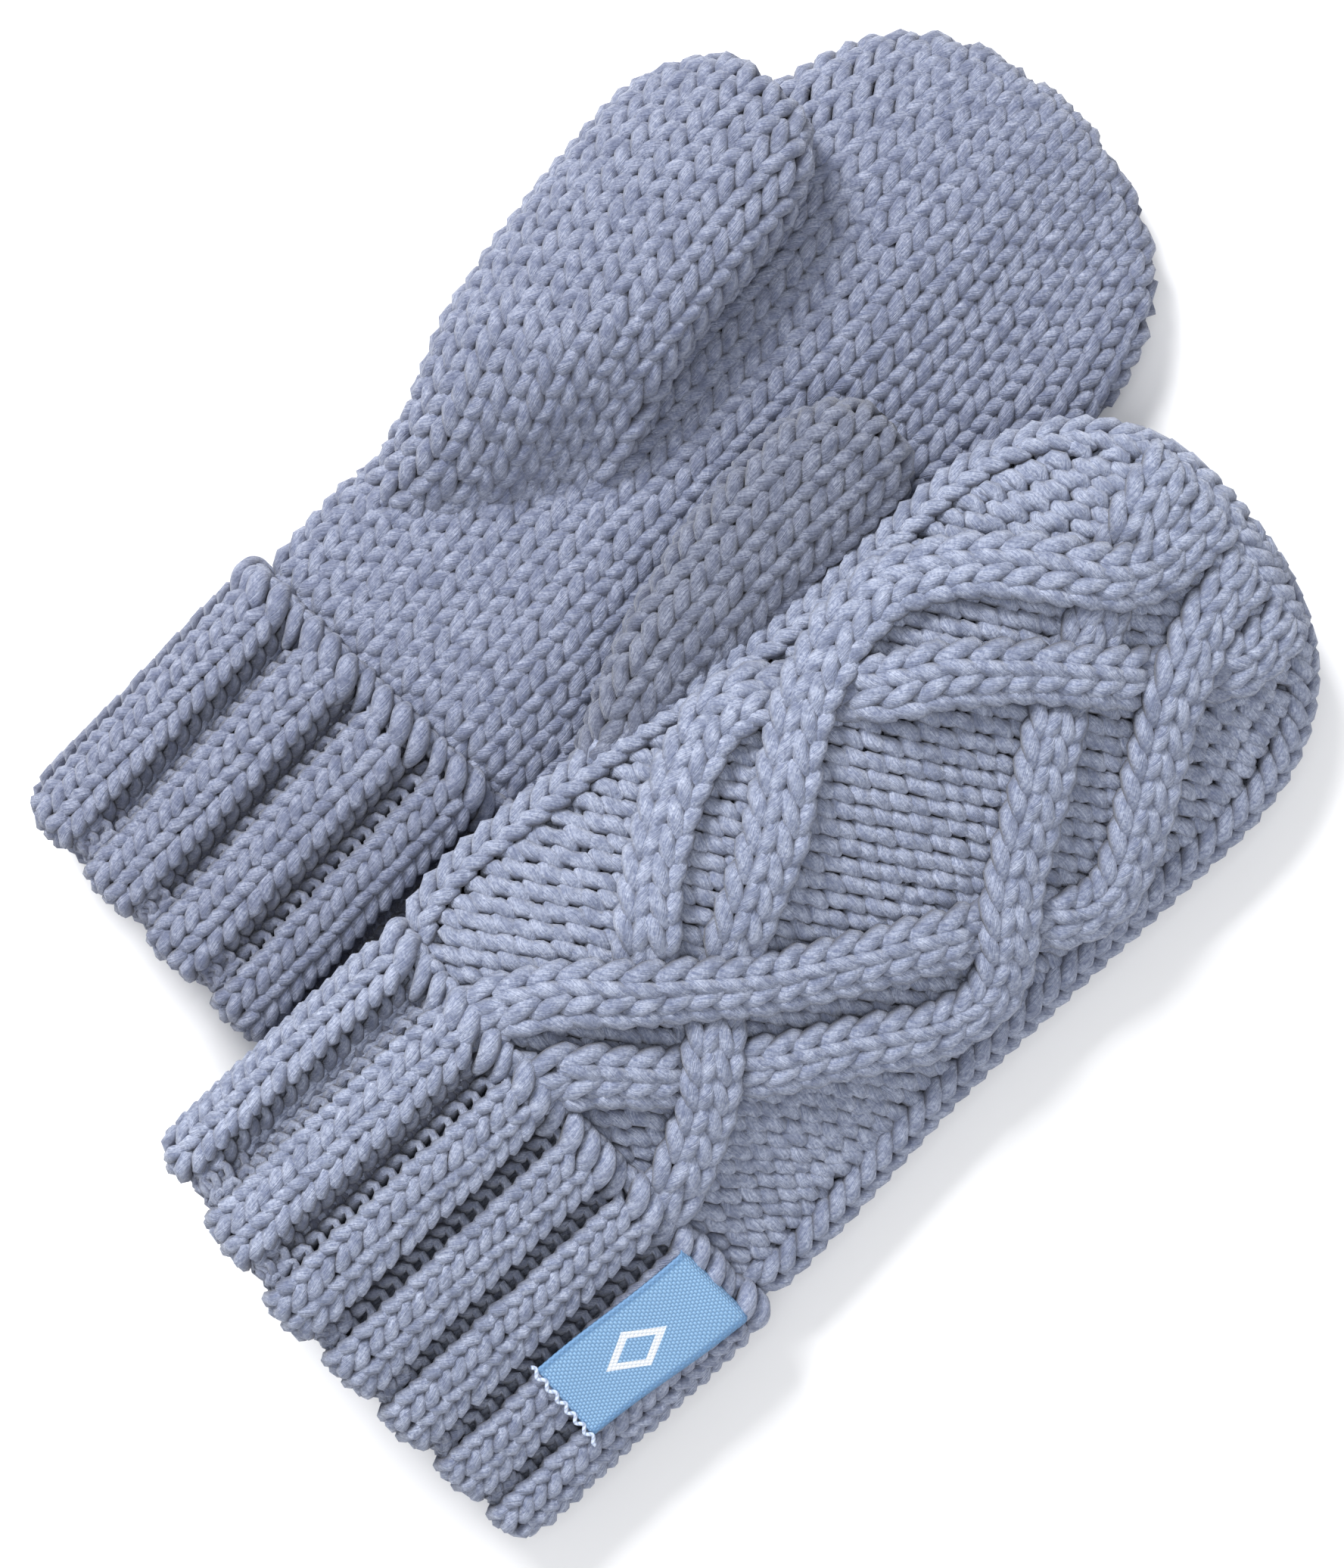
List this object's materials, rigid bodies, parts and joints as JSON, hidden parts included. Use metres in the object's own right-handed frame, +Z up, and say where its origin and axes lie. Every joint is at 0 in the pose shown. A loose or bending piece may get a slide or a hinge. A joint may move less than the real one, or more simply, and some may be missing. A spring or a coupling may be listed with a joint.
{
  "type": "mittens",
  "caption": "Thick knitted mittens, laid overlapping, with turned-up ribbed cuffs, cable-knit backs, plain knit palms, soft linings and a small blank woven label.",
  "frame": {"origin": "on the floor, at the middle of the pair's bounding box", "axes": "+Y from the left cuff's fold to the left finger tip, +Z up, +X towards the right mitten"},
  "size_m": [0.1874, 0.2756, 0.0453],
  "materials": {
    "knit_yarn": "chunky soft-twist yarn, matte with a slight fuzz",
    "linking_yarn": "matte yarn",
    "fleece_lining": "brushed fleece",
    "lining_thread": "matte thread",
    "woven_label": "satin weave",
    "label_thread": "glossy thread"
  },
  "bodies": {
    "left_mitten": {"left_palm_panel": "knit_yarn", "left_back_panel": "knit_yarn", "left_wrist_rib": "knit_yarn", "left_hand_lining": "fleece_lining", "left_lining_hem": "lining_thread", "left_outer_seam": "linking_yarn", "left_thumb_side_seam": "linking_yarn", "left_tip_knot": "knit_yarn"},
    "left_thumb": {"left_thumb_tube": "knit_yarn", "left_thumb_lining": "fleece_lining", "left_thumb_knot": "knit_yarn"},
    "left_cuff": {"left_turned_cuff": "knit_yarn"},
    "right_mitten": {"right_palm_panel": "knit_yarn", "right_back_panel": "knit_yarn", "right_wrist_rib": "knit_yarn", "right_hand_lining": "fleece_lining", "right_lining_hem": "lining_thread", "right_outer_seam": "linking_yarn", "right_thumb_side_seam": "linking_yarn", "right_tip_knot": "knit_yarn"},
    "right_thumb": {"right_thumb_tube": "knit_yarn", "right_thumb_lining": "fleece_lining"},
    "right_cuff": {"right_turned_cuff": "knit_yarn", "right_woven_label": "woven_label", "right_label_stitch": "label_thread"}
  },
  "joints": [
    {"name": "right_mitten_lift", "type": "slide", "parent": "left_mitten", "child": "right_mitten", "axis": [0, 0, 1], "range_m": [0, 0.1]},
    {"name": "left_thumb_raise", "type": "hinge", "parent": "left_mitten", "child": "left_thumb", "pos_m": [-0.06219, 0.00579, 0.0237], "axis": [1, 0, 0], "range_deg": [0, 90]},
    {"name": "right_thumb_raise", "type": "hinge", "parent": "right_mitten", "child": "right_thumb", "pos_m": [-0.00569, -0.01519, 0.0192], "axis": [0.9983, -0.0576, 0], "range_deg": [0, 60]},
    {"name": "left_cuff_turn_down", "type": "slide", "parent": "left_mitten", "child": "left_cuff", "axis": [0, -1, 0], "range_m": [0, 0.06]},
    {"name": "right_cuff_turn_down", "type": "slide", "parent": "right_mitten", "child": "right_cuff", "axis": [-0.0576, -0.9983, 0], "range_m": [0, 0.06]}
  ]
}
